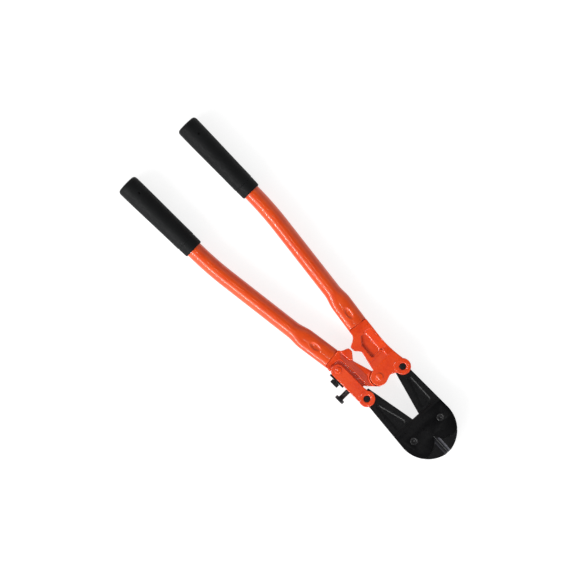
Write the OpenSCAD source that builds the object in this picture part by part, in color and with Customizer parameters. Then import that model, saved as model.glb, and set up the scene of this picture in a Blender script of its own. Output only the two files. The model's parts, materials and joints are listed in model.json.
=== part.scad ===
// Bolt cutters of the 600 mm class, lying flat with the jaws towards +X.
// Two bent steel tubes carry forged heads that turn about one centre rivet. Each head's ear
// drives the rear end of a jaw, and two joint plates hold the jaws' own bolts in front.
// Tool frame: the centre rivet is at the origin, handle A is on +Y and handle B on -Y.
// Head frame: midway between the two jaw pivots, turned by head_tilt, mirror image in Y.

/* [Handles] */
// Distance from the centre rivet back to the end of the grips
handle_reach = 455; // [420:1:480]
// Outside diameter of the handle tube
tube_d = 25; // [24:0.5:26]
// Wall of the handle tube
tube_wall = 2.3; // [1.6:0.1:3]
// Slope of the tube at its flattened neck, away from the tool's axis
neck_slope = 8.2; // [7:0.1:9]
// Slope of the long straight stretch of tube
mid_slope = 7; // [6:0.1:8]
// Slope of the tube inside the grip
tail_slope = 1; // [0:0.1:3]
// Distance of the neck's centre line from the axis, 75 mm behind the centre rivet
neck_offset = 31.05; // [30.5:0.05:31.5]
// Width of the flattened neck
neck_w = 30.4; // [29:0.1:31]
// Thickness of the flattened neck
neck_t = 18.6; // [18:0.1:20]
// Length of the grip
grip_len = 136.5; // [120:0.5:140]
// Largest diameter of the grip, near its outer end
grip_d = 33.6; // [33:0.1:35]

/* [Clevis heads] */
// Half the distance between the two jaw pivots
pivot_half = 34.8; // [34.6:0.05:35]
// Distance of the jaw pivots in front of the centre rivet
pivot_x = 11.5; // [11.2:0.1:11.8]
// Tilt of the jaws against the handles' axis, as the link is adjusted
head_tilt = -2.7; // [-3:0.1:-2.4]
// Radius of the ears around the pivots
ear_r = 12; // [11.5:0.1:12.4]
// Thickness of each cheek of the clevis
cheek_t = 6.2; // [5.5:0.1:6.4]
// Radius of the centre rivet's shank
center_r = 4.5; // [4:0.1:5]
// Radius of the jaw pivot pins
pivot_r = 4.9; // [4.5:0.1:5]

/* [Jaws] */
// Thickness of a jaw's arm, between the plates
jaw_t = 13; // [12:0.5:14]
// Thickness of each joint plate
plate_t = 5; // [4:0.25:5.5]
// Distance of the jaw bolts in front of the jaw pivots
bolt_x = 90.4; // [90:0.1:91]
// Half the distance between the two jaw bolts
bolt_half = 25.8; // [25.6:0.05:26]
// Radius of the jaw bolts
bolt_r = 5.5; // [5:0.1:6]
// Radius of the nose's outline
nose_r = 48; // [47.5:0.1:48.5]
// Width of the bevel beside each cutting edge
bevel_w = 5; // [4:0.25:6]

/* [Adjusting link] */
// Distance of the link's rivet behind the centre rivet
link_back = 48.5; // [48:0.1:49]
// Thickness of each side of the link
link_t = 4.5; // [4:0.1:5]
// Distance of the clamping bolt behind the centre rivet
pull_back = 38.5; // [37.5:0.1:39.5]
// Distance of the setting bolt behind the centre rivet
push_back = 17; // [16:0.1:18]
// Thread radius of both set bolts
set_r = 4; // [3.8:0.1:4.2]

/* [Fits] */
// Radial clearance of a pin that turns in its eye
run_gap = 0.05; // [0.02:0.01:0.09]
// Clearance between flat faces that slide past each other
side_gap = 0.3; // [0.2:0.05:0.35]
// Clearance around a body that moves in a pocket
sweep_gap = 0.4; // [0.3:0.05:0.5]

/* [Hidden] */
$fn = 64;
eps = 0.01;
big = 400;

ORANGE = "#e8501c";
BLACK = "#1b1b1d";
RUBBER = "#18181a";

// Levels above and below the mid-plane
core_z = jaw_t / 2;
cheek_in = core_z + side_gap;
cheek_out = cheek_in + cheek_t;
plate_out = cheek_in + plate_t;
link_out = cheek_in + link_t;
boss_h = 0.5;
arm_z = 11.2;
panel_z = 8;
nut_t = grip_d / 2 - plate_out;

// Centre points in the tool frame
head_origin = [pivot_x, 0.15];
pivot_a = to_tool([0, pivot_half]);
pivot_b = to_tool([0, -pivot_half]);
link_pivot = [-link_back, -34.7];
link_foot = -45.7;
link_wall = 3;
link_top = -26.2;
web_foot = -40;
flange_y = [29.3, 40.2];
ridge_y = -20.3;
valley_y = -10.5;
valley_z = 6.9;
lock_t = 2.9;
lock_mid = -39;

// Set bolts: hexagon across corners, height of each head, tips and seats along Y
hex_d = 15;
pull_tip = -24;
pull_head = 5.8;
push_seat = -60.6;
push_head = 5.2;

// Set of the raised and recessed ends
rivet_r = 6;
rivet_h = 1.2;
link_rivet_r = 5.2;
link_rivet_h = 0.9;
pin_sink = 0.6;
rim = 1;

// Slot in jaw B's eye: how far the pin may stand off towards the outer edge, and its play
slot_len = 4.3;
slot_lean = 9;
slot_play = 0.65;

// Tube route of handle A, from the neck back to the end
front_back = 75;
neck_back = 137;
mid_len = 119;
bend_r = 527;
neck_flat = 38;
tang_len = 34;
root_len = 3;
crimp_back = 21;
crimp_half = [10, 5];
crimp_depth = 0.8;
tube_start = [-front_back, neck_offset];
front_a = -front_back;
front_b = -67;
neck_dir = 180 - neck_slope;
mid_dir = 180 - mid_slope;
tail_dir = 180 - tail_slope;
neck_end = tube_start + unit(neck_dir) * (neck_back - front_back) / cos(neck_slope);
bend_start = neck_end + unit(mid_dir) * mid_len;
bend_centre = bend_start + unit(mid_dir + 90) * bend_r;
tail_start = bend_centre + unit(tail_dir - 90) * bend_r;
grip_end = tail_start + unit(tail_dir) * (tail_start[0] + handle_reach) / cos(tail_slope);
grip_cap = 5;
collar_len = 16;
end_r = 3.6;
tube_end = grip_end - unit(tail_dir) * grip_cap;
flat_end = tube_start + unit(neck_dir) * neck_flat;
sides = 24;

// Jaw outline in the head frame
jaw_inner_slope = 12.9;
nose_x = 88;
jaw_half_w = 44;
nose_y = nose_r - jaw_half_w;
bevel_x = 104.3;
edge_land = 1.5;
mouth_gap = 0.05;
recess_depth = 1.2;
recess_rim = [[17.5, 28.2, 2], [64, 13.3, 5], [64, 34, 5], [17.5, 34, 2]];
recess_floor = [[21, 29.2, 1], [61.8, 16.3, 3], [61.8, 31.8, 3], [21, 31.8, 1]];
shoulder = [13, 40.5];
cam_r = bolt_half - 0.1;
cam_relief = 0.9;
plate_reach = 29.3;
nose_gap = 0.4;
plate_rear_x = 66.6;
rear_bevel = [4.5, 3.6];
jaw_ear_r = 11.8;
heel_r = 15;
bolt_c = [bolt_x, bolt_half];
inner_dir = unit(-jaw_inner_slope);
inner_end = bolt_c + (cam_r - cam_relief) * unit(-90 - jaw_inner_slope);
pivot_gap = abs(cross(inner_dir, [0, pivot_half] - inner_end));
heel = [0, pivot_half] + pivot_gap * unit(-90 - jaw_inner_slope)
  - sqrt(heel_r * heel_r - pivot_gap * pivot_gap) * inner_dir;
thread_r = bolt_r - 0.5;
nut_flats = 17;
tip_x = nose_x + sqrt(nose_r * nose_r - nose_y * nose_y);
front_x = head_origin[0] + tip_x * cos(head_tilt);
shift_x = (handle_reach - front_x) / 2;

function unit(a) = [cos(a), sin(a)];
function turned(p, a) = [p[0] * cos(a) - p[1] * sin(a), p[0] * sin(a) + p[1] * cos(a)];
function to_tool(p) = head_origin + turned(p, head_tilt);
function angle_of(v) = atan2(v[1], v[0]);
// Corner of the tube's front end in plan: side 1 is the outer one, -1 the one at the axis
function neck_corner(x, side) = neck_point(x) + side * neck_w / 2 * unit(neck_dir - 90);
function corner_point(x, side) = [neck_corner(x, side)[0], neck_corner(x, side)[1], 0];
function below(p) = [p[0], -p[1], p[2]];
function neck_point(x) = tube_start - unit(neck_dir) * (x + front_back) / cos(neck_slope);
function smooth(t) = t * t * (3 - 2 * t);
// Outer edge of the jaw's straight stretch between its shoulder and the nose
function edge_y(x) = jaw_half_w
  - (jaw_half_w - shoulder[1]) * (nose_x - x) / (nose_x - shoulder[0]);
function wrap(a) = a > 180 ? a - 360 : (a < -180 ? a + 360 : a);

// Points of an arc from angle a0 to a1
function arc(c, r, a0, a1, n = 10) = [for (i = [0:n]) c + r * unit(a0 + (a1 - a0) * i / n)];

// One corner b between a and c, rounded with radius r
function corner(a, b, c, r, n = 6) =
  let (u = (a - b) / norm(a - b), v = (c - b) / norm(c - b),
       half = acos(u * v) / 2, m = (u + v) / norm(u + v),
       centre = b + m * r / sin(half),
       a0 = angle_of(b + u * r / tan(half) - centre),
       turn = wrap(angle_of(b + v * r / tan(half) - centre) - a0))
  [for (i = [0:n]) centre + r * unit(a0 + turn * i / n)];

// Closed outline from [x, y, corner radius] points
function rounded(pts) = [for (i = [0:len(pts) - 1])
  let (n = len(pts), p = pts[i], a = pts[(i + n - 1) % n], c = pts[(i + 1) % n],
       here = [p[0], p[1]])
  each (p[2] == 0 ? [here] : corner([a[0], a[1]], here, [c[0], c[1]], p[2]))];

module slab(z0, z1) {
  translate([0, 0, z0]) linear_extrude(z1 - z0) children();
}

module both_sides(z0, z1) {
  slab(z0, z1) children();
  slab(-z1, -z0) children();
}

module at(p) {
  translate([p[0], p[1], 0]) children();
}

module post(p, r, z) {
  at(p) cylinder(h = 2 * z, r = r, center = true);
}

module in_tool() {
  translate([shift_x, 0, grip_d / 2]) children();
}

module in_head() {
  in_tool() at(head_origin) rotate(head_tilt) children();
}

module keep_x(x0, x1) {
  translate([x0, -big / 2]) square([x1 - x0, big]);
}

// Rectangle about the origin from its half sizes, with rounded corners
module rounded_box(half, r) {
  polygon(rounded([[-half[0], -half[1], r], [half[0], -half[1], r],
    [half[0], half[1], r], [-half[0], half[1], r]]));
}

// Chamfer cutter on both rims of a round hole
module rim_chamfers(p, r, z) {
  at(p) for (s = [0, 1]) mirror([0, 0, s]) translate([0, 0, z - rim])
    cylinder(h = rim + eps, r1 = r, r2 = r + rim + eps);
}

// ---------- handle tubes and grips ----------

// Stadium section as [z, y] points: two half circles of radius r, span apart from the middle
function section(r, span) = concat(
  [for (i = [0:sides / 2]) [0, span] + r * unit(i * 360 / sides)],
  [for (i = [sides / 2:sides]) [0, -span] + r * unit(i * 360 / sides)]);

// Section of the tube where it is flattened by the share flat, 0 for round and 1 for the neck
function tube_section(flat, grow) = section(grow + tube_d / 2 + flat * (neck_t - tube_d) / 2,
  flat * (neck_w - neck_t) / 2);

function tube_ring(c, a, flat, grow) = [for (p = tube_section(flat, grow))
  [c[0] + p[1] * unit(a + 90)[0], c[1] + p[1] * unit(a + 90)[1], p[0]]];

// Stations along the tube: centre, direction and share of flattening
function tube_stations(front) = concat(
  [[neck_point(front), neck_dir, 1]],
  [for (i = [0:4]) [flat_end + (neck_end - flat_end) * i / 4, neck_dir, 1 - smooth(i / 4)]],
  [for (i = [0:5]) let (a = mid_dir - 90 + (mid_slope - tail_slope) * i / 5)
    [bend_centre + bend_r * unit(a), a + 90, 0]],
  [[tube_end, tail_dir, 0]]);

// Extrudes a section drawn as [z, y] from p in direction a
module run(p, a, length) {
  at(p) rotate(a) rotate([0, 90, 0]) linear_extrude(length) children();
}

module tube_shell(front) {
  stations = tube_stations(front);
  rings = len(stations);
  turns = len(tube_section(0, 0));
  outer = [for (s = stations) each tube_ring(s[0], s[1], s[2], 0)];
  inner = [for (s = stations) each tube_ring(s[0], s[1], s[2], -tube_wall)];
  skin = [for (k = [0:rings - 2], i = [0:turns - 1]) let (j = (i + 1) % turns)
    each [[k * turns + i, k * turns + j, (k + 1) * turns + j],
      [k * turns + i, (k + 1) * turns + j, (k + 1) * turns + i]]];
  base = rings * turns;
  bore = [for (f = skin) [f[0] + base, f[2] + base, f[1] + base]];
  rims = [for (i = [0:turns - 1]) let (j = (i + 1) % turns, last = base - turns)
    each [[i, base + i, base + j], [i, base + j, j], [last + i, last + j, base + last + j],
      [last + i, base + last + j, base + last + i]]];
  polyhedron(concat(outer, inner), concat(skin, bore, rims));
}

// Flats of the crimps that lock the tube on the head's tang
module crimps() {
  at(tube_start + unit(neck_dir) * crimp_back) rotate(neck_dir)
    both_sides(neck_t / 2 - crimp_depth, neck_t)
      rounded_box(crimp_half, crimp_half[1] - 0.1);
}

module tube(front) {
  difference() {
    tube_shell(front);
    crimps();
  }
}

module grip() {
  r = grip_d / 2;
  bore = tube_d / 2;
  lip = grip_len - collar_len;
  profile = concat([[0, 0]], arc([r - end_r, end_r], end_r, -90, 0, 8),
    [[r - 0.6, grip_len / 2], [r - 1.1, lip], [r - 1.6, lip + 1], [r - 1.8, grip_len - 2],
     [r - 2.8, grip_len], [bore, grip_len], [bore, grip_cap], [0, grip_cap]]);
  at(grip_end) rotate(tail_dir + 180) rotate([90, 0, 90])
    rotate_extrude() polygon(profile);
}

// Tang that fills the tube's neck, reaching back from the shoulder at x
module tang(x) {
  run(neck_point(x) - unit(neck_dir) * root_len, neck_dir, tang_len + root_len)
    polygon(tube_section(1, -tube_wall));
}

// ---------- handle A's head ----------

module head_a_plan() {
  polygon(rounded([corner_point(front_a, 1), [-24, 40.3, 150], [4, 43.6, 0], [18, 30, 0], [8.3, 14, 6],
    [12.6, 2, 0], [-4, -4, 0], [-13.6, 1.1, 0], [-43.5, 8, 5], [-51.5, 1.1, 3], [-59.5, 1.1, 3],
    [-63, 8.5, 6], [-67.5, 15, 8], corner_point(front_a, -1)]));
  translate(pivot_a) circle(ear_r);
  circle(ear_r + 0.6);
}

// Side view of an arm: thickness over the length, thicker at the clevis
module arm_profile(x0, x1) {
  rotate([90, 0, 0]) linear_extrude(big, center = true)
    polygon([[x0, neck_t / 2], [x0 + 5, neck_t / 2], [x0 + 12, arm_z], [-22, arm_z], [-13, cheek_out],
      [x1, cheek_out], [x1, -cheek_out], [-13, -cheek_out], [-22, -arm_z], [x0 + 12, -arm_z],
      [x0 + 5, -neck_t / 2], [x0, -neck_t / 2]]);
}

// Recessed panel, with the flange beyond it sloping up to the arm's outer edge
module head_a_panel() {
  both_sides(panel_z, big)
    polygon(rounded([[-60, 31, 3], [-26, 29.5, 3], [-26, 12.5, 3], [-50, 14.5, 3],
      [-60, 23, 3]]));
  for (s = [0, 1]) mirror([0, 0, s]) intersection() {
    slab(0, arm_z + 1)
      polygon(rounded([[-61, 22, 3], [-61, 60, 0], [-25, 60, 0], [-25, 22, 3]]));
    rotate([90, 0, 90]) linear_extrude(2 * big, center = true)
      polygon([[flange_y[0], panel_z + 0.6], [flange_y[1], arm_z], [flange_y[1], arm_z + 2],
        [flange_y[0], arm_z + 2]]);
  }
}

// Slope that leads from the arm's panel level up to the cheeks
module cheek_ramp() {
  for (s = [0, 1]) mirror([0, 0, s]) translate([0, 31, 0]) rotate([90, 0, 0])
    linear_extrude(40) polygon([[-24, panel_z + 1], [-12.5, cheek_out], [-12.5, big], [-24, big]]);
}

module handle_a_head() {
  color(ORANGE) in_tool() difference() {
    union() {
      intersection() {
        slab(-cheek_out, cheek_out) head_a_plan();
        arm_profile(front_a - root_len, big);
      }
      post(pivot_a, ear_r - 0.6, cheek_out + boss_h);
      tang(front_a);
    }
    slab(-cheek_in, cheek_in) {
      keep_x(-11.5, big);
      circle(ear_r + 1.6);
    }
    head_a_panel();
    cheek_ramp();
    post(pivot_a, pivot_r, big);
    post([0, 0], center_r, big);
    rim_chamfers(pivot_a, pivot_r, cheek_out + boss_h);
  }
}

module handle_a_tube() {
  color(ORANGE) in_tool() tube(front_a);
}

module handle_a_grip() {
  color(RUBBER) in_tool() grip();
}

// Solid rivet with a low raised head at each end
module rivet(p, r, z, head_r, head_h) {
  at(p) rotate_extrude() polygon([[0, -z - head_h], [head_r - head_h, -z - head_h],
    [head_r, -z], [r, -z], [r, z], [head_r, z], [head_r - head_h, z + head_h],
    [0, z + head_h]]);
}

module center_rivet() {
  color(ORANGE) in_tool() rivet([0, 0], center_r, cheek_out, rivet_r, rivet_h);
}

// Plain pin with chamfered ends
module pin(p, r, z) {
  at(p) rotate_extrude() polygon([[0, -z], [r - 0.7, -z], [r, 0.7 - z], [r, z - 0.7],
    [r - 0.7, z], [0, z]]);
}

module jaw_a_pivot_pin() {
  color(BLACK) in_tool() pin(pivot_a, pivot_r, cheek_out - pin_sink);
}

// ---------- handle B's head and its adjusting link ----------

// Thick part of handle B's head
module head_b_plan() {
  difference() {
    polygon(rounded([below(corner_point(front_b, -1)), [-65, -12, 4], [-60.4, -1.3, 3],
      [-53.6, -1.3, 3], [-42, -10.9, 6], [-12.5, -3.4, 0], [8, -11.3, 1], [-3.5, -21.9, 6],
      [-9, ridge_y + 0.6, 4], [-58, ridge_y - 1.2, 5], [-60.6, -34, 8], [-60, -43.6, 3],
      below(corner_point(front_b, 1))]));
    translate(link_pivot) circle(9.7 + 3 * sweep_gap);
    circle(ear_r + 1.6);
  }
}

// Thin part: the tongue in handle A's clevis and the web between the link's sides
module head_b_core() {
  circle(ear_r);
  polygon(rounded([[-14, -1.6, 0], [-4, 9, 0], [11.4, -3, 0], [10.8, -8.6, 1],
    [-3.5, -22.4, 6], [-6.5, -24, 2], [-6.5, web_foot, 2], [-55.6, web_foot, 0],
    [-55.6, -44.7, 1], [-64, -44.4, 0], [-64, -16, 0]]));
}

// Slope from the ridge down to the arm's inner edge, with a valley behind the stop
module head_b_panel() {
  difference() {
    for (s = [0, 1]) mirror([0, 0, s]) intersection() {
      slab(0, arm_z + 1)
        polygon(rounded([[-66, ridge_y, 0], [-66, -13.6, 2], [-47, -12.8, 3], [-42, -4, 0],
          [2, 4, 0], [2, ridge_y, 0]]));
      rotate([90, 0, 90]) linear_extrude(2 * big, center = true)
        polygon([[ridge_y, arm_z], [valley_y, valley_z], [4, core_z], [4, arm_z + 2],
          [ridge_y, arm_z + 2]]);
    }
    post([0, 0], ear_r + 3, big);
  }
}

module handle_b_head() {
  color(ORANGE) in_tool() difference() {
    union() {
      intersection() {
        slab(-arm_z, arm_z) head_b_plan();
        arm_profile(front_b - root_len, big);
      }
      slab(-core_z, core_z) head_b_core();
      mirror([0, 1, 0]) tang(front_b);
    }
    head_b_panel();
    post([0, 0], center_r + run_gap, big);
    post(link_pivot, set_r + run_gap, big);
    bolt_bore(pull_back, pull_tip + 4, set_r + run_gap);
  }
}

module handle_b_tube() {
  color(ORANGE) in_tool() mirror([0, 1, 0]) tube(front_b);
}

module handle_b_grip() {
  color(RUBBER) in_tool() mirror([0, 1, 0]) grip();
}

// Hole along Y for a set bolt, from far below up to y_top
module bolt_bore(back, y_top, r) {
  translate([-back, y_top, 0]) rotate([90, 0, 0]) cylinder(h = 60, r = r);
}

module link_plan() {
  polygon(rounded([[-58.2, link_top, 9.6], [-4, link_top, 6], [2, -25.5, 0], [10, -34, 0],
    [4, link_foot, 0], [-58.2, link_foot, 9.6]]));
  translate(pivot_b) circle(ear_r - 0.1);
}

// Room inside the link for handle B's web and for jaw B's rear end
module link_pocket() {
  slab(-cheek_in, cheek_in) {
    translate([-100, link_foot + link_wall]) square([200, 40]);
    keep_x(-5, big);
    keep_x(-big, -55);
  }
}

module adjusting_link() {
  color(ORANGE) in_tool() difference() {
    union() {
      slab(-link_out, link_out) link_plan();
      post(pivot_b, ear_r - 0.7, link_out + boss_h);
    }
    link_pocket();
    post(pivot_b, pivot_r, big);
    post(link_pivot, set_r, big);
    rim_chamfers(pivot_b, pivot_r, link_out + boss_h);
    bolt_bore(pull_back, web_foot, set_r + sweep_gap);
    bolt_bore(push_back, web_foot, set_r + run_gap);
  }
}

module link_rivet() {
  color(ORANGE) in_tool() rivet(link_pivot, set_r, link_out, link_rivet_r, link_rivet_h);
}

module jaw_b_pivot_pin() {
  color(BLACK) in_tool() pin(pivot_b, pivot_r, link_out - pin_sink);
}

module lock_plate() {
  color(BLACK) in_tool() difference() {
    translate([lock_mid, link_foot, 0]) rotate([90, 0, 0]) linear_extrude(lock_t)
      rounded_box([13, 8], 2);
    bolt_bore(pull_back, web_foot, set_r + sweep_gap);
  }
}

// Hexagon head bolt along Y: tip at y_tip, underside of the head at y_seat
module set_bolt(back, y_tip, y_seat, head_h, turn) {
  hex_r = hex_d / 2;
  translate([-back, y_tip, 0]) rotate([90, 0, 0]) {
    cylinder(h = y_tip - y_seat + eps, r = set_r);
    translate([0, 0, y_tip - y_seat]) rotate(turn) intersection() {
      cylinder(h = head_h, r = hex_r, $fn = 6);
      cylinder(h = head_h, r1 = hex_r + 2.2, r2 = hex_r - 0.7);
    }
  }
}

module pull_bolt() {
  color(BLACK) in_tool() set_bolt(pull_back, pull_tip, link_foot - lock_t - side_gap, pull_head, 0);
}

module push_bolt() {
  color(BLACK) in_tool() set_bolt(push_back, web_foot - side_gap, push_seat, push_head, 30);
}

// ---------- jaws and joint plates ----------

module jaw_plan() {
  nose_c = [nose_x, -nose_y];
  a_tip = asin((nose_y + mouth_gap) / nose_r);
  polygon(concat([heel, inner_end], arc(bolt_c, cam_r, -90 - jaw_inner_slope, -90, 6),
    [[bolt_x + 1, mouth_gap]], arc(nose_c, nose_r, a_tip, 90, 24),
    [shoulder, [0, pivot_half + 6]],
    [[-10, 30]]));
  translate([0, pivot_half]) circle(jaw_ear_r);
}

module nose_plan() {
  difference() {
    intersection() {
      jaw_plan();
      keep_x(100, big);
    }
    translate(bolt_c) circle(plate_reach + nose_gap);
  }
}

// Solid between two outlines with the same number of corners, low at z0 and high at z1
module tapered(low, high, z0, z1) {
  a = rounded(low);
  b = rounded(high);
  n = len(a);
  polyhedron([each [for (p = a) [p[0], p[1], z0]], each [for (p = b) [p[0], p[1], z1]]],
    [[for (i = [0:n - 1]) i], [for (i = [0:n - 1]) 2 * n - 1 - i],
     for (i = [0:n - 1]) let (j = (i + 1) % n) each [[i, n + j, j], [i, n + i, n + j]]]);
}

// Shallow recess with sloping sides in both faces of a jaw's arm
module jaw_recess() {
  for (s = [0, 1]) mirror([0, 0, s])
    tapered(recess_floor, recess_rim, core_z - recess_depth, core_z + eps);
}

// Wedge that bevels both faces of the nose down to the cutting edge
module edge_bevel() {
  for (s = [0, 1]) mirror([0, 0, s]) translate([bevel_x, 0, 0]) rotate([90, 0, 90])
    linear_extrude(60) polygon([[-1, edge_land], [mouth_gap, edge_land],
      [bevel_w, plate_out], [bevel_w, plate_out + 1], [-1, plate_out + 1]]);
}

module jaw() {
  difference() {
    union() {
      slab(-core_z, core_z) jaw_plan();
      slab(-plate_out, plate_out) nose_plan();
    }
    jaw_recess();
    edge_bevel();
    post(bolt_c, bolt_r + run_gap, big);
    children();
  }
}

module jaw_a() {
  color(BLACK) in_head() jaw() post([0, pivot_half], pivot_r + run_gap, big);
}

// Jaw B's rear eye is a short slot, so the pin may stand off while the handles swing
module jaw_b() {
  color(BLACK) in_head() mirror([0, 1, 0]) jaw() at([0, pivot_half]) rotate(90 - slot_lean) {
    cylinder(h = big, r = pivot_r + slot_play, center = true);
    translate([slot_len, 0, 0]) cylinder(h = big, r = pivot_r + slot_play, center = true);
    translate([0, -pivot_r - slot_play, -big / 2]) cube([slot_len, 2 * (pivot_r + slot_play), big]);
  }
}

module half_plate_plan() {
  intersection() {
    jaw_silhouette();
    union() {
      keep_x(0, nose_x);
      translate(bolt_c) circle(plate_reach);
    }
  }
}

module jaw_silhouette() {
  polygon(concat([[plate_rear_x, 0]], arc([nose_x, -nose_y], nose_r, asin(nose_y / nose_r), 90, 24),
    [[plate_rear_x, edge_y(plate_rear_x)]]));
}

module joint_plate() {
  difference() {
    slab(cheek_in, plate_out) {
      half_plate_plan();
      mirror([0, 1]) half_plate_plan();
    }
    for (s = [-1, 1]) post([bolt_x, s * bolt_half], bolt_r, big);
    rotate([90, 0, 0]) linear_extrude(big, center = true)
      polygon([[plate_rear_x - 1, plate_out - rear_bevel[1]],
        [plate_rear_x, plate_out - rear_bevel[1]], [plate_rear_x + rear_bevel[0], plate_out],
        [plate_rear_x + rear_bevel[0], plate_out + 1], [plate_rear_x - 1, plate_out + 1]]);
  }
}

module front_joint_plate() {
  color(BLACK) in_head() joint_plate();
}

module rear_joint_plate() {
  color(BLACK) in_head() mirror([0, 0, 1]) joint_plate();
}

// Shouldered stud: flush in the front plate, threaded for the nut behind the rear plate
module jaw_bolt(side) {
  at([bolt_x, side * bolt_half]) rotate_extrude()
    polygon([[0, -grip_d / 2 + 0.4], [thread_r - 0.6, -grip_d / 2 + 0.4], [thread_r, -grip_d / 2 + 1],
      [thread_r, -plate_out], [bolt_r, -plate_out], [bolt_r, plate_out - 0.5],
      [bolt_r - 0.5, plate_out], [3, plate_out], [2.4, plate_out - 0.6], [0, plate_out - 0.6]]);
}

module jaw_bolt_a() {
  color(BLACK) in_head() jaw_bolt(1);
}

module jaw_bolt_b() {
  color(BLACK) in_head() jaw_bolt(-1);
}

module jaw_nut(side) {
  at([bolt_x, side * bolt_half]) translate([0, 0, -plate_out - nut_t]) difference() {
    cylinder(h = nut_t, r = nut_flats / 2 / cos(30), $fn = 6);
    translate([0, 0, -1]) cylinder(h = nut_t + 2, r = thread_r);
  }
}

module jaw_nut_a() {
  color(BLACK) in_head() jaw_nut(1);
}

module jaw_nut_b() {
  color(BLACK) in_head() jaw_nut(-1);
}

handle_a_head();
handle_a_tube();
handle_a_grip();
center_rivet();
jaw_a_pivot_pin();
handle_b_head();
handle_b_tube();
handle_b_grip();
adjusting_link();
link_rivet();
jaw_b_pivot_pin();
lock_plate();
pull_bolt();
push_bolt();
jaw_a();
jaw_b();
front_joint_plate();
rear_joint_plate();
jaw_bolt_a();
jaw_bolt_b();
jaw_nut_a();
jaw_nut_b();
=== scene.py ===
import json
import math

import bmesh
import bpy
import numpy as np
from mathutils import Matrix, Vector


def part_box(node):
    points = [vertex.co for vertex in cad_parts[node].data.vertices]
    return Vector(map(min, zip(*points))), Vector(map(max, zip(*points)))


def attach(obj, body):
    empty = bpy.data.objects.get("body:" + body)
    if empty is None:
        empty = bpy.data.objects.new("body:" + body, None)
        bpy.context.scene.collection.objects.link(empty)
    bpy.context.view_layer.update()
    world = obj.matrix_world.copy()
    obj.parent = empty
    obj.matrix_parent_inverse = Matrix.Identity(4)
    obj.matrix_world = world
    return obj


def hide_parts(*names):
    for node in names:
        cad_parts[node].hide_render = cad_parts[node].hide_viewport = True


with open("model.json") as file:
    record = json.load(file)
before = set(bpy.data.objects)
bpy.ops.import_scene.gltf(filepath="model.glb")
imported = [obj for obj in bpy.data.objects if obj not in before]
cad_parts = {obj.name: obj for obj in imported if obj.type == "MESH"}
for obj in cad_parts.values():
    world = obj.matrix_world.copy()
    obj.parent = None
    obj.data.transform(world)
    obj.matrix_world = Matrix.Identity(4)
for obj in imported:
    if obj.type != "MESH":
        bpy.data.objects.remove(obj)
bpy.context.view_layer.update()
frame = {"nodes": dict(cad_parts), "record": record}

# Bolt cutters lying flat on a pale floor, seen from straight above with the jaws at the lower
# right. Lengths named here are in metres unless a name says mm. The tool frame used below has
# its origin on the centre rivet at the mid-plane, handle A on +Y and the jaws towards +X.

MM = 0.001
RECORD = frame["record"]
BODY = {n: b for b, group in RECORD["behaviour"]["bodies"].items() for n in group}
JOINT = {j["name"]: Vector(j["pos_m"]) for j in RECORD["behaviour"]["joints"] if "pos_m" in j}
CENTRE = JOINT["handle_pivot"]
MID_Z = CENTRE.z
BOLT_A = JOINT["plate_pivot"]
BOLT_B = JOINT["jaw_b_pivot"]
LINK_PIVOT = JOINT["link_adjust"]
HEAD_TURN = math.atan2(BOLT_A.y - BOLT_B.y, BOLT_A.x - BOLT_B.x) - math.pi / 2


# ---------------------------------------------------------------- materials

def new_material(name):
    mat = bpy.data.materials.new(name)
    mat.use_nodes = True
    return mat, mat.node_tree.nodes, mat.node_tree.links, mat.node_tree.nodes["Principled BSDF"]


def add_node(nodes, kind, **settings):
    node = nodes.new(kind)
    for key, value in settings.items():
        if key in node.inputs:
            node.inputs[key].default_value = value
        else:
            setattr(node, key, value)
    return node


def place_on_piece(nodes, links, stretch=(1, 1, 1)):
    """Object coordinates, scaled along each axis so that a pattern can run lengthwise."""
    coord = add_node(nodes, "ShaderNodeTexCoord")
    mapping = add_node(nodes, "ShaderNodeMapping")
    mapping.inputs["Scale"].default_value = stretch
    links.new(coord.outputs["Object"], mapping.inputs["Vector"])
    return mapping.outputs["Vector"]


def noise(nodes, links, vector, scale, detail=3.0, roughness=0.55):
    node = add_node(nodes, "ShaderNodeTexNoise", Scale=scale, Detail=detail, Roughness=roughness)
    links.new(vector, node.inputs["Vector"])
    return node.outputs["Fac"]


def ramp(nodes, links, value, stops):
    """A colour ramp through (position, colour) stops; a colour may be one grey number."""
    node = add_node(nodes, "ShaderNodeValToRGB")
    points = node.color_ramp.elements
    while len(points) < len(stops):
        points.new(0.5)
    for point, (place, colour) in zip(points, stops):
        point.position = place
        grey = isinstance(colour, (int, float))
        point.color = (colour, colour, colour, 1) if grey else (*colour, 1)
    links.new(value, node.inputs["Fac"])
    return node.outputs["Color"]


def add_bumps(nodes, links, bsdf, layers):
    """Stacks (height, strength, distance) layers of bump and feeds the shader's normal."""
    last = None
    for height, strength, distance in layers:
        bump = add_node(nodes, "ShaderNodeBump", Strength=strength, Distance=distance)
        links.new(height, bump.inputs["Height"])
        if last is not None:
            links.new(last, bump.inputs["Normal"])
        last = bump.outputs["Normal"]
    links.new(last, bsdf.inputs["Normal"])


def srgb(r, g, b):
    return tuple(((c / 255 + 0.055) / 1.055) ** 2.4 if c > 10 else c / 255 / 12.92
                 for c in (r, g, b))


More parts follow.
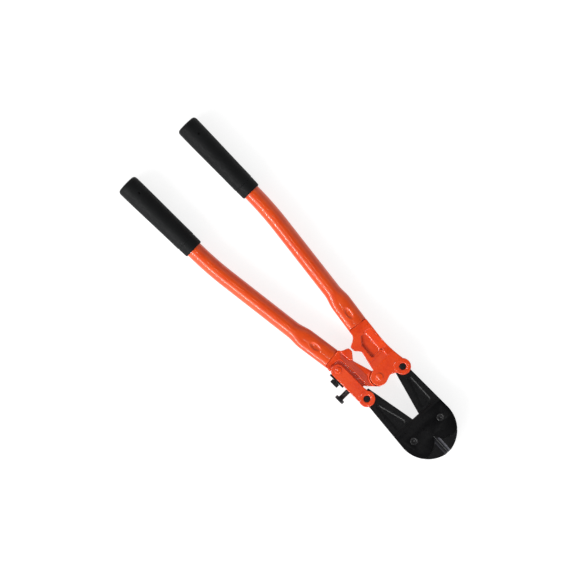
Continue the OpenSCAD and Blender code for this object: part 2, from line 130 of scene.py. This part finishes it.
def enamel(name, forged, tones):
    """Gloss orange enamel. Over a forging the casting skin shows through it."""
    mat, nodes, links, bsdf = new_material(name)
    where = place_on_piece(nodes, links)
    patches = noise(nodes, links, where, 55, detail=4)
    fine = noise(nodes, links, where, 420, detail=3)
    skin = noise(nodes, links, where, 900, detail=2)
    colour = ramp(nodes, links, patches, [(0.25 + 0.25 * i, srgb(*tone))
                                           for i, tone in enumerate(tones)])
    links.new(colour, bsdf.inputs["Base Color"])
    low, high = (0.26, 0.4) if forged else (0.36, 0.5)
    links.new(ramp(nodes, links, fine, [(0.3, low), (0.7, high)]), bsdf.inputs["Roughness"])
    bsdf.inputs["Specular IOR Level"].default_value = 0.2
    bsdf.inputs["Coat Weight"].default_value = 0.85 if forged else 0.55
    bsdf.inputs["Coat Roughness"].default_value = 0.09
    lumps = noise(nodes, links, where, 230, detail=4)
    layers = [(skin, 0.08, 0.0002)]
    if forged:
        layers = [(lumps, 0.6, 0.0007), (skin, 0.12, 0.0002)]
    add_bumps(nodes, links, bsdf, layers)
    return mat


def black_steel(name, rough_low, rough_high, lump, shine):
    """Satin black coating on forged or rolled steel."""
    mat, nodes, links, bsdf = new_material(name)
    where = place_on_piece(nodes, links)
    patches = noise(nodes, links, where, 70, detail=5)
    fine = noise(nodes, links, where, 600, detail=4)
    colour = ramp(nodes, links, patches, [(0.3, srgb(7, 7, 8)), (0.7, srgb(12, 12, 13))])
    links.new(colour, bsdf.inputs["Base Color"])
    links.new(ramp(nodes, links, fine, [(0.3, rough_low), (0.7, rough_high)]),
              bsdf.inputs["Roughness"])
    bsdf.inputs["Specular IOR Level"].default_value = shine
    coarse = noise(nodes, links, where, 260, detail=4)
    add_bumps(nodes, links, bsdf, [(coarse, lump, 0.0005), (fine, 0.1, 0.0001)])
    return mat


def ground_steel():
    """Ground cutting bevel: grey steel with fine grinding marks across the edge."""
    mat, nodes, links, bsdf = new_material("ground_bevel")
    along = place_on_piece(nodes, links, (1, 0.08, 0.08))
    marks = noise(nodes, links, along, 2600, detail=3)
    links.new(ramp(nodes, links, marks, [(0.3, srgb(66, 66, 71)), (0.7, srgb(78, 78, 83))]),
              bsdf.inputs["Base Color"])
    links.new(ramp(nodes, links, marks, [(0.3, 0.4), (0.7, 0.48)]), bsdf.inputs["Roughness"])
    bsdf.inputs["Metallic"].default_value = 0.1
    add_bumps(nodes, links, bsdf, [(marks, 0.05, 0.0001)])
    return mat


def rubber():
    """Matt black grip with a fine lengthwise grain."""
    mat, nodes, links, bsdf = new_material("grip_rubber")
    where = place_on_piece(nodes, links)
    grain = place_on_piece(nodes, links, (0.12, 1, 1))
    streaks = noise(nodes, links, grain, 900, detail=3)
    fine = noise(nodes, links, where, 1500, detail=2)
    patches = noise(nodes, links, where, 40, detail=3)
    links.new(ramp(nodes, links, patches, [(0.3, srgb(8, 9, 10)), (0.7, srgb(13, 14, 15))]),
              bsdf.inputs["Base Color"])
    links.new(ramp(nodes, links, streaks, [(0.3, 0.52), (0.7, 0.7)]), bsdf.inputs["Roughness"])
    bsdf.inputs["Specular IOR Level"].default_value = 0.13
    add_bumps(nodes, links, bsdf, [(streaks, 0.35, 0.0004), (fine, 0.2, 0.0001)])
    return mat


def oxide(name, dark, light, gloss):
    """Black oxide fastener steel with a faint sheen."""
    mat, nodes, links, bsdf = new_material(name)
    where = place_on_piece(nodes, links)
    patches = noise(nodes, links, where, 300, detail=4)
    links.new(ramp(nodes, links, patches, [(0.3, srgb(*dark)), (0.7, srgb(*light))]),
              bsdf.inputs["Base Color"])
    links.new(ramp(nodes, links, patches, [(0.3, gloss), (0.7, gloss + 0.14)]),
              bsdf.inputs["Roughness"])
    bsdf.inputs["Specular IOR Level"].default_value = 0.8 - 1.8 * gloss
    add_bumps(nodes, links, bsdf, [(patches, 0.12, 0.0002)])
    return mat


ORANGE_FORGED = enamel("orange_enamel_forged", forged=True,
                       tones=[(194, 48, 5), (204, 57, 7), (210, 66, 10)])
ORANGE_TUBE = enamel("orange_enamel_tube", forged=False,
                     tones=[(192, 56, 8), (200, 64, 12), (206, 72, 16)])
JAW_BLACK = black_steel("jaw_black", rough_low=0.26, rough_high=0.4, lump=0.3, shine=0.15)
PLATE_BLACK = black_steel("plate_black", rough_low=0.25, rough_high=0.36, lump=0.16, shine=0.1)
BEVEL_GREY = ground_steel()
GRIP_RUBBER = rubber()
OXIDE = oxide("black_oxide", dark=(9, 9, 11), light=(18, 18, 21), gloss=0.32)
BOLT_STEEL = oxide("rubbed_oxide", dark=(10, 10, 11), light=(20, 20, 21), gloss=0.16)


# ---------------------------------------------------------------- shared mesh tools

def link_piece(name, mesh):
    piece = bpy.data.objects.new(name, mesh)
    bpy.context.scene.collection.objects.link(piece)
    return piece


def mesh_piece(name, points, faces, material):
    mesh = bpy.data.meshes.new(name)
    mesh.from_pydata([tuple(p) for p in points], [], faces)
    mesh.validate()
    mesh.update()
    mesh.polygons.foreach_set("use_smooth", [True] * len(mesh.polygons))
    mesh.materials.append(material)
    return link_piece(name, mesh)


def copy_of(node, name, material):
    mesh = frame["nodes"][node].data.copy()
    mesh.materials.clear()
    mesh.materials.append(material)
    bm = bmesh.new()
    bm.from_mesh(mesh)
    bmesh.ops.remove_doubles(bm, verts=bm.verts, dist=1e-6)
    bm.to_mesh(mesh)
    bm.free()
    for attribute in [a.name for a in mesh.attributes if a.name.startswith("custom_normal")]:
        mesh.attributes.remove(mesh.attributes[attribute])
    return link_piece(name, mesh)


def apply_modifiers(piece):
    graph = bpy.context.evaluated_depsgraph_get()
    mesh = bpy.data.meshes.new_from_object(piece.evaluated_get(graph))
    piece.modifiers.clear()
    piece.data = mesh


def settle(piece, node):
    """The piece stands for the CAD node, on its body."""
    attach(piece, BODY[node])
    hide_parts(node)


def forge(node, material, voxel=0.5 * MM, rounds=5):
    """The CAD solid as a forging: remeshed evenly, with every edge eased round."""
    piece = copy_of(node, node + "_forging", material)
    skin = piece.modifiers.new("skin", "REMESH")
    skin.mode = "VOXEL"
    skin.voxel_size = voxel
    smooth = piece.modifiers.new("ease", "SMOOTH")
    smooth.factor = 0.5
    smooth.iterations = rounds
    apply_modifiers(piece)
    mesh = piece.data
    mesh.polygons.foreach_set("use_smooth", [True] * len(mesh.polygons))
    return piece


def machined(node, material, width=0.35 * MM, segments=3):
    """The CAD solid as a machined piece: flat faces joined up and sharp edges broken."""
    piece = copy_of(node, node + "_machined", material)
    bm = bmesh.new()
    bm.from_mesh(piece.data)
    bmesh.ops.dissolve_limit(bm, angle_limit=math.radians(0.5), verts=bm.verts, edges=bm.edges)
    bm.to_mesh(piece.data)
    bm.free()
    bevel = piece.modifiers.new("edges", "BEVEL")
    bevel.width = width
    bevel.segments = segments
    bevel.limit_method = "ANGLE"
    bevel.angle_limit = math.radians(28)
    bevel.harden_normals = False
    apply_modifiers(piece)
    mesh = piece.data
    mesh.polygons.foreach_set("use_smooth", [True] * len(mesh.polygons))
    mesh.set_sharp_from_angle(angle=math.radians(40))
    return piece


def vertex_array(mesh):
    flat = np.empty(len(mesh.vertices) * 3)
    mesh.vertices.foreach_get("co", flat)
    return flat.reshape(-1, 3)


def normal_array(mesh):
    flat = np.empty(len(mesh.vertices) * 3)
    mesh.vertices.foreach_get("normal", flat)
    return flat.reshape(-1, 3)


def store_vertices(mesh, points):
    mesh.vertices.foreach_set("co", points.ravel())
    mesh.update()


def add_flash_line(piece, keep, height=0.22 * MM, reach=0.9 * MM):
    """A trimmed forging flash: a low ridge around the sides at the mid-plane."""
    mesh = piece.data
    points = vertex_array(mesh)
    normals = normal_array(mesh)
    off = np.clip(np.abs(points[:, 2] - MID_Z) / reach, 0, 1)
    side = np.clip(1 - np.abs(normals[:, 2]) * 2, 0, 1)
    push = height * (1 - off ** 2) * side * keep(points)
    store_vertices(mesh, points + normals * push[:, None])


def lathe(name, profile, origin, axis, material, turns=96, ripple=None):
    """Turns (radius, height) points about axis through origin. ripple(r, h, angle) gives r."""
    axis = Vector(axis).normalized()
    turn = axis.to_track_quat("Z", "Y").to_matrix()
    points = []
    rows = []
    for radius, height in profile:
        if radius < 1e-7:
            rows.append([len(points)])
            points.append(Vector(origin) + turn @ Vector((0, 0, height)))
            continue
        rows.append(list(range(len(points), len(points) + turns)))
        for i in range(turns):
            angle = 2 * math.pi * i / turns
            r = ripple(radius, height, angle) if ripple else radius
            spot = Vector((r * math.cos(angle), r * math.sin(angle), height))
            points.append(Vector(origin) + turn @ spot)
    faces = []
    for low, high in zip(rows, rows[1:]):
        for i in range(turns):
            j = (i + 1) % turns
            if len(low) == 1:
                faces.append((low[0], high[j], high[i]))
            elif len(high) == 1:
                faces.append((low[i], low[j], high[0]))
            else:
                faces.append((low[i], low[j], high[j], high[i]))
    return mesh_piece(name, points, faces, material)


def round_corner(start, corner, stop, steps=4):
    """Points of a smooth curve from start to stop that bends at corner."""
    spots = []
    for i in range(steps + 1):
        t = i / steps
        spots.append(tuple((1 - t) ** 2 * a + 2 * t * (1 - t) * b + t * t * c
                           for a, b, c in zip(start, corner, stop)))
    return spots


def face_outwards(piece):
    bm = bmesh.new()
    bm.from_mesh(piece.data)
    bmesh.ops.recalc_face_normals(bm, faces=bm.faces)
    bm.to_mesh(piece.data)
    bm.free()


# ---------------------------------------------------------------- handle tubes

NECK_SLOPE = math.radians(8.2)
MID_SLOPE = math.radians(7)
TAIL_SLOPE = math.radians(1)
NECK_MID = Vector((-75, 31.05)) * MM
NECK_END_X = -137 * MM
MID_LENGTH = 119 * MM
BEND_R = 527 * MM
TUBE_R = 12.5 * MM
TUBE_WALL = 2.3 * MM
NECK_HALF_W = 15.2 * MM
NECK_HALF_T = 9.3 * MM
NECK_FLAT = 38 * MM
NECK_SQUARENESS = 0.55
CRIMP_AT = 21 * MM
CRIMP_HALF_LENGTH = 10.5 * MM
CRIMP_HALF_WIDTH = 5.2 * MM
CRIMP_DEPTH = 1.7 * MM
CRIMP_RIM = 0.55
GRIP_REACH = 455 * MM
TAIL_SHARE = 0.955
NECK_STEP = 0.7 * MM
HEAD_A_TUBE_FRONT = -75 * MM
HEAD_B_TUBE_FRONT = -67 * MM
# The tube's front edge, from the bore out: (distance back, depth below the skin) in mm
FRONT_LIP = [(0.9, 2.3), (0.3, 2.2), (0, 0.9), (0.25, 0.35), (0.7, 0.06)]


def heading(angle):
    return Vector((math.cos(angle), math.sin(angle)))


NECK_WAY = math.pi - NECK_SLOPE
MID_WAY = math.pi - MID_SLOPE
TAIL_WAY = math.pi - TAIL_SLOPE
NECK_END = NECK_MID + heading(NECK_WAY) * (NECK_MID.x - NECK_END_X) / math.cos(NECK_SLOPE)
BEND_START = NECK_END + heading(MID_WAY) * MID_LENGTH
BEND_CENTRE = BEND_START + heading(MID_WAY + math.pi / 2) * BEND_R
TAIL_START = BEND_CENTRE + heading(TAIL_WAY - math.pi / 2) * BEND_R
GRIP_END = TAIL_START + heading(TAIL_WAY) * (TAIL_START.x + GRIP_REACH) / math.cos(TAIL_SLOPE)


def ease(t):
    t = min(1.0, max(0.0, t))
    return t * t * (3 - 2 * t)


def tube_stations(front_x):
    """(centre, heading, share of flattening, distance from the flat's middle) along a tube."""
    front = NECK_MID - heading(NECK_WAY) * (front_x - NECK_MID.x) / math.cos(NECK_SLOPE)
    front_run = (NECK_MID - front).length * (1 if front_x > NECK_MID.x else -1)
    neck_run = (NECK_END - front).length
    flat_run = NECK_FLAT + front_run
    stations = []
    count = int(neck_run / NECK_STEP)
    for i in range(count):
        run = neck_run * i / count
        flat = 1 - ease((run - flat_run) / (neck_run - flat_run))
        stations.append((front + heading(NECK_WAY) * run, NECK_WAY, flat, run - front_run))
    for i in range(20):
        spot = NECK_END + heading(MID_WAY) * MID_LENGTH * i / 20
        stations.append((spot, MID_WAY, 0.0, 1.0))
    for i in range(13):
        way = MID_WAY + (TAIL_WAY - MID_WAY) * i / 12
        stations.append((BEND_CENTRE + heading(way - math.pi / 2) * BEND_R, way, 0.0, 1.0))
    for i in range(1, 9):
        spot = TAIL_START + (GRIP_END - TAIL_START) * (i / 8) * TAIL_SHARE
        stations.append((spot, TAIL_WAY, 0.0, 1.0))
    return stations


def tube_point(centre, way, flat, run, angle, inset):
    """A point of the tube's skin: round, or a flattened oval with two crimps in its flats."""
    half_w = TUBE_R + flat * (NECK_HALF_W - TUBE_R) - inset
    half_t = TUBE_R + flat * (NECK_HALF_T - TUBE_R) - inset
    square = 2 / (2 + NECK_SQUARENESS * flat)
    side = math.copysign(abs(math.sin(angle)) ** square, math.sin(angle)) * half_w
    rise = math.copysign(abs(math.cos(angle)) ** square, math.cos(angle)) * half_t
    along = (run - CRIMP_AT) / CRIMP_HALF_LENGTH
    across = side / CRIMP_HALF_WIDTH
    reach = math.hypot(along, across)
    if reach < 1:
        rise -= math.copysign(CRIMP_DEPTH * ease((1 - reach) / CRIMP_RIM), rise)
    left = heading(way + math.pi / 2)
    spot = centre + left * side
    return Vector((spot.x, spot.y, rise))


def tube(node, front_x, mirror, turns=144):
    """A bent tube with a rounded front edge and a bore that follows the same route."""
    stations = tube_stations(front_x)
    rings = []
    first = stations[0]
    back = heading(first[1])
    for push, inset in FRONT_LIP:
        rings.append((first[0] + back * push * MM, first[1], first[2], first[3], inset * MM))
    rings += [(c, w, f, r, 0.0) for c, w, f, r in stations[1:]]
    rings += [(c, w, f, 1.0, TUBE_WALL) for c, w, f, r in reversed(stations[1:])]
    points = []
    for centre, way, flat, run, inset in rings:
        for i in range(turns):
            spot = tube_point(centre, way, flat, run, 2 * math.pi * i / turns, inset)
            points.append(Vector((spot.x, -spot.y if mirror else spot.y, spot.z)) + CENTRE)
    faces = []
    for k in range(len(rings) - 1):
        for i in range(turns):
            j = (i + 1) % turns
            faces.append((k * turns + i, k * turns + j, (k + 1) * turns + j, (k + 1) * turns + i))
    top = len(points) - turns
    for i in range(turns):
        j = (i + 1) % turns
        faces.append((top + i, top + j, j, i))
    piece = mesh_piece(node + "_bent", points, faces, ORANGE_TUBE)
    face_outwards(piece)
    settle(piece, node)


tube("handle_a_tube", HEAD_A_TUBE_FRONT, False)
tube("handle_b_tube", HEAD_B_TUBE_FRONT, True)


# ---------------------------------------------------------------- grips

GRIP_LENGTH = 136.5 * MM
GRIP_R = 16.8 * MM
GRIP_TAPER = 1.15 * MM
COLLAR_LENGTH = 16 * MM
FLUTES = 60
FLUTE_DEPTH = 0.14 * MM
FLUTE_START = 9 * MM
FLUTE_STOP = GRIP_LENGTH - 18 * MM
VENT_AT = 24 * MM
VENT_R = 1.7 * MM
VENT_DEPTH = 2 * MM
VENT_TURN = math.radians(14)
OUTER_SKIN = TUBE_R + 1.5 * MM


def grip_profile():
    """(radius, distance from the closed end): domed end, slow taper, plain collar, lip."""
    r = GRIP_R
    length = GRIP_LENGTH
    collar = length - COLLAR_LENGTH
    spots = [(0.0, 0.0), (r * 0.45, 0.0001)]
    spots += round_corner((r - 5.5 * MM, 0.0003), (r - 0.1 * MM, 0.0005), (r, 6.5 * MM), 10)
    start = 7 * MM
    taper_length = collar - 8 * MM
    heights = [start + taper_length * i / 44 for i in range(1, 45)]
    heights += [VENT_AT + 0.3 * MM * i for i in range(-8, 9)]
    for height in sorted(heights):
        spots.append((r - GRIP_TAPER * ease((height - start) / taper_length), height))
    spots += [(r - 1.2 * MM, collar - 0.7 * MM), (r - 2.0 * MM, collar - 0.1 * MM),
              (r - 2.0 * MM, collar + 0.3 * MM), (r - 1.4 * MM, collar + 1 * MM)]
    for i in range(1, 7):
        spots.append((r - (1.5 + 0.25 * i / 6) * MM, collar + (1 + 12 * i / 6) * MM))
    spots += round_corner((r - 1.8 * MM, length - 2.4 * MM), (r - 2.1 * MM, length - 0.1 * MM),
                          (r - 3.1 * MM, length), 5)
    spots += [(TUBE_R + 0.5 * MM, length), (TUBE_R + 0.02 * MM, length - 0.5 * MM),
              (TUBE_R + 0.02 * MM, 5 * MM), (0.0, 5 * MM)]
    return spots


def flute(radius, height, angle):
    """Fine lengthwise flutes on the main length of the grip."""
    if radius < OUTER_SKIN or not FLUTE_START < height < FLUTE_STOP:
        return radius
    fade = ease((height - FLUTE_START) / (6 * MM)) * ease((FLUTE_STOP - height) / (5 * MM))
    return radius - FLUTE_DEPTH * fade * (0.5 + 0.5 * math.cos(FLUTES * angle)) ** 2


def vent(radius, height, angle):
    """Depth of the small vent hole; the angle is measured from the vent's own direction."""
    if radius < OUTER_SKIN:
        return 0.0
    reach = math.hypot(height - VENT_AT, radius * angle) / VENT_R
    return VENT_DEPTH * ease((1 - reach) / 0.3)


def grip(node, side):
    end = CENTRE + Vector((GRIP_END.x, side * GRIP_END.y, 0))
    inward = -heading(TAIL_WAY)
    vent_angle = math.pi / 2 - VENT_TURN

    def skin(radius, height, angle):
        return flute(radius, height, angle) - vent(radius, height, angle - vent_angle)

    piece = lathe(node + "_moulded", grip_profile(), end, (inward.x, side * inward.y, 0),
                  GRIP_RUBBER, turns=FLUTES * 4, ripple=skin)
    face_outwards(piece)
    settle(piece, node)


grip("handle_a_grip", 1)
grip("handle_b_grip", -1)


# ---------------------------------------------------------------- forgings

FLASH_FROM = -15 * MM


def behind(x):
    """Keeps a ridge on the arm behind this distance from the centre rivet."""
    return lambda points: (points[:, 0] < CENTRE.x + x).astype(float)


head_a = forge("handle_a_head", ORANGE_FORGED)
add_flash_line(head_a, behind(FLASH_FROM))
settle(head_a, "handle_a_head")

head_b = forge("handle_b_head", ORANGE_FORGED)
settle(head_b, "handle_b_head")

link = forge("adjusting_link", ORANGE_FORGED, voxel=0.4 * MM)
settle(link, "adjusting_link")


V_HALF_WIDTH = 5.2 * MM
V_START = 14.2 * MM
V_HALF_HEIGHT = 11.7 * MM
V_STEEPNESS = 0.35


def paint_bevels(piece):
    """Bare ground steel on the slopes of the V that lead to the cutting edge."""
    mesh = piece.data
    mesh.materials.append(BEVEL_GREY)
    turn = Matrix.Rotation(-HEAD_TURN, 3, "Z")
    start = (BOLT_A + BOLT_B) / 2
    for face in mesh.polygons:
        spot = turn @ (face.center - start)
        normal = turn @ face.normal
        in_v = abs(spot.y) < V_HALF_WIDTH and abs(spot.z) < V_HALF_HEIGHT and spot.x > V_START
        if in_v and abs(normal.y) > V_STEEPNESS:
            face.material_index = 1


for jaw_node in ("jaw_a", "jaw_b"):
    jaw = forge(jaw_node, JAW_BLACK, rounds=3)
    paint_bevels(jaw)
    settle(jaw, jaw_node)


# ---------------------------------------------------------------- plates, pins and fasteners

for plate_node in ("front_joint_plate", "rear_joint_plate"):
    settle(machined(plate_node, PLATE_BLACK, width=0.6 * MM), plate_node)
settle(machined("lock_plate", OXIDE), "lock_plate")
for pin_node in ("jaw_a_pivot_pin", "jaw_b_pivot_pin"):
    settle(machined(pin_node, OXIDE, width=0.25 * MM), pin_node)


CENTRE_RIVET_R = 6 * MM
LINK_RIVET_R = 5.2 * MM
RIVET_RISE = 0.8 * MM


def rivet(node, head_r, spot):
    """A peened rivet: shank and a low domed head at each end."""
    low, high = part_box(node)
    half = (high[2] - low[2]) / 2
    shank = head_r * 0.75
    foot = half - RIVET_RISE
    upper = [(shank, 0), (shank, foot), (head_r, foot)]
    upper += round_corner((head_r, half - RIVET_RISE * 0.9),
                          (head_r - 0.1 * MM, half - RIVET_RISE * 0.2),
                          (head_r * 0.72, half - 0.12 * MM), 4)
    upper += [(head_r * 0.4, half), (0.0, half)]
    profile = [(r, -z) for r, z in reversed(upper[1:])] + upper
    piece = lathe(node + "_peened", profile, (spot.x, spot.y, MID_Z), (0, 0, 1), ORANGE_FORGED)
    face_outwards(piece)
    settle(piece, node)


rivet("center_rivet", CENTRE_RIVET_R, CENTRE)
rivet("link_rivet", LINK_RIVET_R, LINK_PIVOT)


def hexagon_reach(angle, flats, easing=0.18 * MM):
    """Distance from the axis to a hexagon's side, with its corners slightly eased."""
    half = flats / 2
    local = (angle % (math.pi / 3)) - math.pi / 6
    return min(half / math.cos(local), half / math.cos(math.pi / 6) - easing)


def hexagon_rows(flats, height, chamfer_r, turn):
    """Rows of (radius by angle, height by angle) for a hexagon chamfered on its top face."""
    slope = math.tan(math.radians(30))

    def side(angle):
        return hexagon_reach(angle + turn, flats)

    def top(angle):
        return height - max(0.0, side(angle) - chamfer_r) * slope

    return [(side, lambda a: 0.0), (side, lambda a: top(a) * 0.5), (side, top),
            (lambda a: min(side(a), chamfer_r), lambda a: height)]


FASTENER_TURNS = 96


def revolve_rows(name, rows, origin, axis, material, turns=FASTENER_TURNS):
    """A closed skin through rows of (radius, height), each a number or a function of angle."""
    axis = Vector(axis).normalized()
    frame_turn = axis.to_track_quat("Z", "Y").to_matrix()
    points = []
    for radius, height in rows:
        for i in range(turns):
            angle = 2 * math.pi * i / turns
            r = radius(angle) if callable(radius) else radius
            z = height(angle) if callable(height) else height
            spot = Vector((r * math.cos(angle), r * math.sin(angle), z))
            points.append(Vector(origin) + frame_turn @ spot)
    faces = []
    for k in range(len(rows) - 1):
        for i in range(turns):
            j = (i + 1) % turns
            faces.append((k * turns + i, k * turns + j, (k + 1) * turns + j, (k + 1) * turns + i))
    faces.append(tuple(reversed(range(turns))))
    faces.append(tuple(range(len(points) - turns, len(points))))
    piece = mesh_piece(name, points, faces, material)
    face_outwards(piece)
    piece.data.set_sharp_from_angle(angle=math.radians(35))
    return piece


PITCH = 1.25 * MM
THREAD_DEPTH = 0.4 * MM


def thread_rows(radius, start, stop, pitch=PITCH, depth=THREAD_DEPTH):
    """Rows of a screw thread: the radius follows a helix, and runs out at both ends."""
    steps = int((stop - start) / (pitch / 8))
    rows = []
    for k in range(steps + 1):
        z = start + (stop - start) * k / steps
        fade = ease((z - start) / pitch) * ease((stop - z) / pitch)

        def reach(angle, z=z, fade=fade):
            phase = (z / pitch - angle / (2 * math.pi)) % 1
            return radius - depth * fade * abs(2 * phase - 1) ** 0.8

        rows.append((reach, z))
    return rows


SET_BOLT_R = 4 * MM
SET_BOLT_FLATS = 13 * MM
SET_BOLT_CHAMFER_R = 6.1 * MM
WASHER_R = 6.2 * MM
WASHER_RISE = 0.25 * MM


def set_bolt(node, head_height, turn):
    """A hexagon bolt along Y, seen from its head: threaded shank, washer face and head."""
    low, high = (Vector(v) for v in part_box(node))
    spot = Vector(((low.x + high.x) / 2, high.y, MID_Z))
    length = high.y - low.y
    seat = length - head_height
    radius = SET_BOLT_R
    rows = [(radius - 1.0 * MM, 0.0), (radius - 0.9 * MM, 0.05 * MM)]
    rows += thread_rows(radius, 0.6 * MM, seat - 1.0 * MM)
    face = seat + WASHER_RISE
    rows += [(radius, seat), (WASHER_R - 0.2 * MM, seat), (WASHER_R, face)]
    for reach, rise in hexagon_rows(SET_BOLT_FLATS, length - face, SET_BOLT_CHAMFER_R, turn):
        rows.append((reach, lambda a, rise=rise: face + rise(a)))
    rows += [(4.4 * MM, length), (4.0 * MM, length - 0.25 * MM), (0.5 * MM, length - 0.25 * MM)]
    piece = revolve_rows(node + "_threaded", rows, spot, (0, -1, 0), OXIDE)
    settle(piece, node)


set_bolt("pull_bolt", head_height=5.8 * MM, turn=math.pi / 6)
set_bolt("push_bolt", head_height=5.2 * MM, turn=0.0)


STUD_R = 5 * MM
STUD_THREAD_R = 4.98 * MM
STUD_RING_R = 5.45 * MM


def jaw_bolt(node, spot):
    """A stud with a rolled ring around its dished upper end and a thread below the plates."""
    low, high = (Vector(v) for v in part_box(node))
    top = high.z - low.z
    plates = 2 * (high.z - MID_Z)
    seat = top - plates
    rows = [(1.0 * MM, 0.0), (4.2 * MM, 0.0), (4.5 * MM, 0.2 * MM)]
    rows += thread_rows(STUD_THREAD_R, 0.7 * MM, seat - 0.3 * MM)
    rows += [(STUD_R, seat), (STUD_RING_R, seat + 0.05 * MM), (STUD_RING_R, top - 0.8 * MM)]
    rows += round_corner((STUD_RING_R, top - 0.7 * MM), (5.4 * MM, top), (4.75 * MM, top), 5)[1:]
    rows += round_corner((4.5 * MM, top), (3.9 * MM, top - 0.1 * MM), (3.6 * MM, top - 0.9 * MM), 5)
    rows += [(3.2 * MM, top - 1.1 * MM), (0.5 * MM, top - 1.1 * MM)]
    piece = revolve_rows(node + "_stud", rows, (spot.x, spot.y, low.z), (0, 0, 1), BOLT_STEEL)
    settle(piece, node)


jaw_bolt("jaw_bolt_a", BOLT_A)
jaw_bolt("jaw_bolt_b", BOLT_B)


NUT_FLATS = 17 * MM
NUT_CHAMFER_R = 8.1 * MM


def nut(node, spot):
    """A thin hexagon nut under the rear plate, chamfered below, with a countersunk thread."""
    low, high = (Vector(v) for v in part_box(node))
    height = high.z - low.z
    bore = STUD_R
    rows = [(bore, 0.0), (8.2 * MM, 0.0)]
    rows += hexagon_rows(NUT_FLATS, height, NUT_CHAMFER_R, 0.0)
    rows += [(bore + 0.6 * MM, height), (bore, height - 0.6 * MM), (bore, height * 0.5)]
    piece = revolve_rows(node + "_hexagon", rows, (spot.x, spot.y, high.z), (0, 0, -1), OXIDE)
    settle(piece, node)


nut("jaw_nut_a", BOLT_A)
nut("jaw_nut_b", BOLT_B)


# ---------------------------------------------------------------- stage, light and camera

FLOOR_HALF = 4.0


def floor():
    """A pale table lit a little from within, so that it stays white in the narrow gaps."""
    mat, nodes, links, bsdf = new_material("floor_white")
    where = place_on_piece(nodes, links)
    faint = noise(nodes, links, where, 30, detail=2)
    links.new(ramp(nodes, links, faint, [(0.3, 0.3), (0.7, 0.32)]), bsdf.inputs["Base Color"])
    bsdf.inputs["Roughness"].default_value = 0.9
    bsdf.inputs["Emission Color"].default_value = (1, 1, 1, 1)
    bsdf.inputs["Emission Strength"].default_value = 0.78
    bsdf.inputs["Specular IOR Level"].default_value = 0.1
    sides = [(-1, -1), (1, -1), (1, 1), (-1, 1)]
    corners = [(x * FLOOR_HALF, y * FLOOR_HALF, 0) for x, y in sides]
    piece = mesh_piece("floor", corners, [(0, 1, 2, 3)], mat)


def area_light(name, spot, target, size, power):
    light = bpy.data.lights.new(name, "AREA")
    light.shape = "RECTANGLE"
    light.size, light.size_y = size
    light.energy = power
    lamp = bpy.data.objects.new(name, light)
    lamp.location = spot
    lamp.rotation_euler = (Vector(target) - Vector(spot)).to_track_quat("-Z", "Y").to_euler()
    bpy.context.scene.collection.objects.link(lamp)


BRIGHT_SIDE = (0.45, -0.89, 0)
SKY_DIM = 0.76
SKY_BRIGHT = 1.7


def sky():
    """A tent of light: dark straight overhead and brightest low on the side of handle B."""
    world = bpy.data.worlds.new("studio")
    world.use_nodes = True
    nodes, links = world.node_tree.nodes, world.node_tree.links
    coord = add_node(nodes, "ShaderNodeTexCoord")
    split = add_node(nodes, "ShaderNodeSeparateXYZ")
    links.new(coord.outputs["Generated"], split.inputs["Vector"])
    height = ramp(nodes, links, split.outputs["Z"], [(0.0, 1.0), (0.7, 1.0), (0.9, 0.03)])
    side = add_node(nodes, "ShaderNodeVectorMath", operation="DOT_PRODUCT")
    links.new(coord.outputs["Generated"], side.inputs[0])
    side.inputs[1].default_value = BRIGHT_SIDE
    spread = add_node(nodes, "ShaderNodeMapRange")
    spread.inputs["From Min"].default_value = -0.45
    spread.inputs["To Min"].default_value = SKY_DIM
    spread.inputs["To Max"].default_value = SKY_BRIGHT
    links.new(side.outputs["Value"], spread.inputs["Value"])
    links.new(height, nodes["Background"].inputs["Color"])
    links.new(spread.outputs["Result"], nodes["Background"].inputs["Strength"])
    bpy.context.scene.world = world


LIT_SPOT = (-0.1, 0, 0)


def lighting():
    """The sky, a soft key, and two thin strips that draw lines of light along the tubes."""
    sky()
    area_light("key", (-0.1, -1.7, 1.3), LIT_SPOT, size=(2.2, 0.45), power=20)
    area_light("strip", (-0.1, -1.5, 0.95), LIT_SPOT, size=(2.4, 0.06), power=22)
    area_light("line", (-0.1, -0.36, 6.0), LIT_SPOT, size=(3.0, 0.06), power=20)


# VIEW_WIDTH is the width seen at the tool's mid-plane, VIEW_MIDDLE what the camera looks at
VIEW_WIDTH = 0.8349
VIEW_MIDDLE = CENTRE + Vector((-0.1803, -0.0021, 0))
CAMERA_HEIGHT = 5.0
SENSOR = 36.0


def camera():
    data = bpy.data.cameras.new("camera")
    data.sensor_width = SENSOR
    data.lens = SENSOR * CAMERA_HEIGHT / VIEW_WIDTH
    cam = bpy.data.objects.new("camera", data)
    cam.location = VIEW_MIDDLE + Vector((0, 0, CAMERA_HEIGHT))
    cam.rotation_euler = (0, 0, math.pi / 4)
    bpy.context.scene.collection.objects.link(cam)
    bpy.context.scene.camera = cam


floor()
lighting()
camera()
bpy.context.scene.view_settings.view_transform = "Standard"
